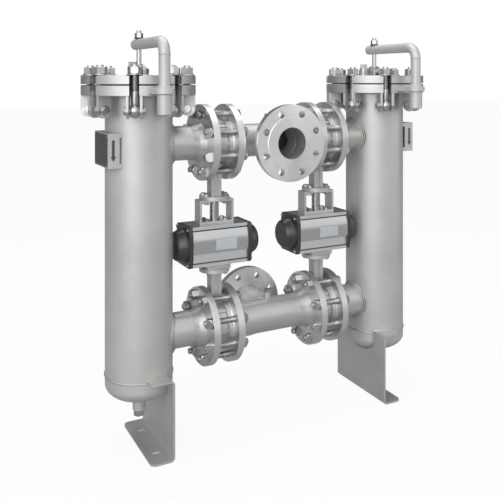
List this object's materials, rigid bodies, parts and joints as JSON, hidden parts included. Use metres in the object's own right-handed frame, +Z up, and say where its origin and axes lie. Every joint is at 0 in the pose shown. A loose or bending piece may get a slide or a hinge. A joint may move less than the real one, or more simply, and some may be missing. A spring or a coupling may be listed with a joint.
{
  "type": "duplex strainer",
  "caption": "Duplex basket strainer: two upright vessels with hinged-bolt covers, joined by two flanged lines whose butterfly valves turn in pairs by rack-and-pinion actuators.",
  "frame": {"origin": "on the floor, at the middle of the rectangle of slotted foot holes, midway between the two vessels", "axes": "+Z up along the vessels; +X from the left vessel to the right one; the inlet flange faces -Y and the outlet flange +Y"},
  "size_m": [1.017, 0.3514, 1.04],
  "materials": {
    "vessel_steel": "bead blasted",
    "machined_steel": "machined",
    "mesh_steel": "perforated sheet",
    "bolt_steel": "bright",
    "valve_steel": "bead blasted",
    "disc_steel": "polished",
    "anodised": "hard anodised",
    "piston_alloy": "cast",
    "plate_steel": "satin plate",
    "pipe_steel": "bead blasted",
    "gasket": "matte",
    "liner": "matte",
    "end_cap": "black powder coat",
    "dark_plate": "dark"
  },
  "bodies": {
    "frame": {"vessel_left": "vessel_steel", "nozzles_left": "vessel_steel", "cover_left": "machined_steel", "bolt_lugs_left": "machined_steel", "basket_left": "mesh_steel", "valve_body_upper_left": "valve_steel", "valve_body_lower_left": "valve_steel", "actuator_body_left": "anodised", "yoke_left": "valve_steel", "support_bracket_left": "plate_steel", "vessel_right": "vessel_steel", "nozzles_right": "vessel_steel", "cover_right": "machined_steel", "bolt_lugs_right": "machined_steel", "basket_right": "mesh_steel", "valve_body_upper_right": "valve_steel", "valve_body_lower_right": "valve_steel", "actuator_body_right": "anodised", "yoke_right": "valve_steel", "support_bracket_right": "plate_steel", "lifting_rods": "bolt_steel", "lifting_nuts": "bolt_steel", "flange_studs": "bolt_steel", "pipe_plugs": "bolt_steel", "cover_gaskets": "gasket", "davit_arms": "pipe_steel", "davit_sockets": "pipe_steel", "upper_tee": "pipe_steel", "lower_tee": "pipe_steel", "seat_liners": "liner", "end_caps": "end_cap", "adaptor_plates": "plate_steel", "plate_carriers": "plate_steel", "name_plates": "dark_plate"},
    "rotor_left": {"disc_upper_left": "disc_steel", "disc_lower_left": "disc_steel", "pinion_left": "disc_steel"},
    "piston_outer_left": {"piston_outer_left": "piston_alloy"},
    "piston_inner_left": {"piston_inner_left": "piston_alloy"},
    "bolt_left_1": {"swing_bolt_left_1": "bolt_steel"},
    "bolt_left_2": {"swing_bolt_left_2": "bolt_steel"},
    "bolt_left_3": {"swing_bolt_left_3": "bolt_steel"},
    "bolt_left_4": {"swing_bolt_left_4": "bolt_steel"},
    "bolt_left_5": {"swing_bolt_left_5": "bolt_steel"},
    "bolt_left_6": {"swing_bolt_left_6": "bolt_steel"},
    "bolt_left_7": {"swing_bolt_left_7": "bolt_steel"},
    "bolt_left_8": {"swing_bolt_left_8": "bolt_steel"},
    "rotor_right": {"disc_upper_right": "disc_steel", "disc_lower_right": "disc_steel", "pinion_right": "disc_steel"},
    "piston_outer_right": {"piston_outer_right": "piston_alloy"},
    "piston_inner_right": {"piston_inner_right": "piston_alloy"},
    "bolt_right_1": {"swing_bolt_right_1": "bolt_steel"},
    "bolt_right_2": {"swing_bolt_right_2": "bolt_steel"},
    "bolt_right_3": {"swing_bolt_right_3": "bolt_steel"},
    "bolt_right_4": {"swing_bolt_right_4": "bolt_steel"},
    "bolt_right_5": {"swing_bolt_right_5": "bolt_steel"},
    "bolt_right_6": {"swing_bolt_right_6": "bolt_steel"},
    "bolt_right_7": {"swing_bolt_right_7": "bolt_steel"},
    "bolt_right_8": {"swing_bolt_right_8": "bolt_steel"}
  },
  "joints": [
    {"name": "valve_turn_left", "type": "hinge", "parent": "frame", "child": "rotor_left", "pos_m": [-0.159, 0, 0.487], "axis": [0, 0, 1], "range_deg": [0, 90]},
    {"name": "piston_slide_outer_left", "type": "slide", "parent": "frame", "child": "piston_outer_left", "axis": [-1, 0, 0], "range_m": [0, 0.0252]},
    {"name": "piston_slide_inner_left", "type": "slide", "parent": "frame", "child": "piston_inner_left", "axis": [1, 0, 0], "range_m": [0, 0.0252]},
    {"name": "bolt_swing_left_1", "type": "hinge", "parent": "frame", "child": "bolt_left_1", "pos_m": [-0.25513, 0.04592, 0.843], "axis": [-0.3827, 0.9239, 0], "range_deg": [0, 85]},
    {"name": "bolt_swing_left_2", "type": "hinge", "parent": "frame", "child": "bolt_left_2", "pos_m": [-0.32008, 0.11087, 0.843], "axis": [-0.9239, 0.3827, 0], "range_deg": [0, 160]},
    {"name": "bolt_swing_left_3", "type": "hinge", "parent": "frame", "child": "bolt_left_3", "pos_m": [-0.41192, 0.11087, 0.843], "axis": [-0.9239, -0.3827, 0], "range_deg": [0, 160]},
    {"name": "bolt_swing_left_4", "type": "hinge", "parent": "frame", "child": "bolt_left_4", "pos_m": [-0.47687, 0.04592, 0.843], "axis": [-0.3827, -0.9239, 0], "range_deg": [0, 160]},
    {"name": "bolt_swing_left_5", "type": "hinge", "parent": "frame", "child": "bolt_left_5", "pos_m": [-0.47687, -0.04592, 0.843], "axis": [0.3827, -0.9239, 0], "range_deg": [0, 160]},
    {"name": "bolt_swing_left_6", "type": "hinge", "parent": "frame", "child": "bolt_left_6", "pos_m": [-0.41192, -0.11087, 0.843], "axis": [0.9239, -0.3827, 0], "range_deg": [0, 160]},
    {"name": "bolt_swing_left_7", "type": "hinge", "parent": "frame", "child": "bolt_left_7", "pos_m": [-0.32008, -0.11087, 0.843], "axis": [0.9239, 0.3827, 0], "range_deg": [0, 160]},
    {"name": "bolt_swing_left_8", "type": "hinge", "parent": "frame", "child": "bolt_left_8", "pos_m": [-0.25513, -0.04592, 0.843], "axis": [0.3827, 0.9239, 0], "range_deg": [0, 85]},
    {"name": "valve_turn_right", "type": "hinge", "parent": "frame", "child": "rotor_right", "pos_m": [0.159, 0, 0.487], "axis": [0, 0, -1], "range_deg": [0, 90]},
    {"name": "piston_slide_outer_right", "type": "slide", "parent": "frame", "child": "piston_outer_right", "axis": [1, 0, 0], "range_m": [0, 0.0252]},
    {"name": "piston_slide_inner_right", "type": "slide", "parent": "frame", "child": "piston_inner_right", "axis": [-1, 0, 0], "range_m": [0, 0.0252]},
    {"name": "bolt_swing_right_1", "type": "hinge", "parent": "frame", "child": "bolt_right_1", "pos_m": [0.25513, 0.04592, 0.843], "axis": [-0.3827, -0.9239, 0], "range_deg": [0, 85]},
    {"name": "bolt_swing_right_2", "type": "hinge", "parent": "frame", "child": "bolt_right_2", "pos_m": [0.32008, 0.11087, 0.843], "axis": [-0.9239, -0.3827, 0], "range_deg": [0, 160]},
    {"name": "bolt_swing_right_3", "type": "hinge", "parent": "frame", "child": "bolt_right_3", "pos_m": [0.41192, 0.11087, 0.843], "axis": [-0.9239, 0.3827, 0], "range_deg": [0, 160]},
    {"name": "bolt_swing_right_4", "type": "hinge", "parent": "frame", "child": "bolt_right_4", "pos_m": [0.47687, 0.04592, 0.843], "axis": [-0.3827, 0.9239, 0], "range_deg": [0, 160]},
    {"name": "bolt_swing_right_5", "type": "hinge", "parent": "frame", "child": "bolt_right_5", "pos_m": [0.47687, -0.04592, 0.843], "axis": [0.3827, 0.9239, 0], "range_deg": [0, 160]},
    {"name": "bolt_swing_right_6", "type": "hinge", "parent": "frame", "child": "bolt_right_6", "pos_m": [0.41192, -0.11087, 0.843], "axis": [0.9239, 0.3827, 0], "range_deg": [0, 160]},
    {"name": "bolt_swing_right_7", "type": "hinge", "parent": "frame", "child": "bolt_right_7", "pos_m": [0.32008, -0.11087, 0.843], "axis": [0.9239, -0.3827, 0], "range_deg": [0, 160]},
    {"name": "bolt_swing_right_8", "type": "hinge", "parent": "frame", "child": "bolt_right_8", "pos_m": [0.25513, -0.04592, 0.843], "axis": [0.3827, -0.9239, 0], "range_deg": [0, 85]}
  ],
  "couplings": [
    {"joint": "piston_slide_outer_left", "follows": "valve_turn_left", "m_per_rad": 0.016},
    {"joint": "piston_slide_inner_left", "follows": "valve_turn_left", "m_per_rad": 0.016},
    {"joint": "piston_slide_outer_right", "follows": "valve_turn_right", "m_per_rad": 0.016},
    {"joint": "piston_slide_inner_right", "follows": "valve_turn_right", "m_per_rad": 0.016}
  ]
}
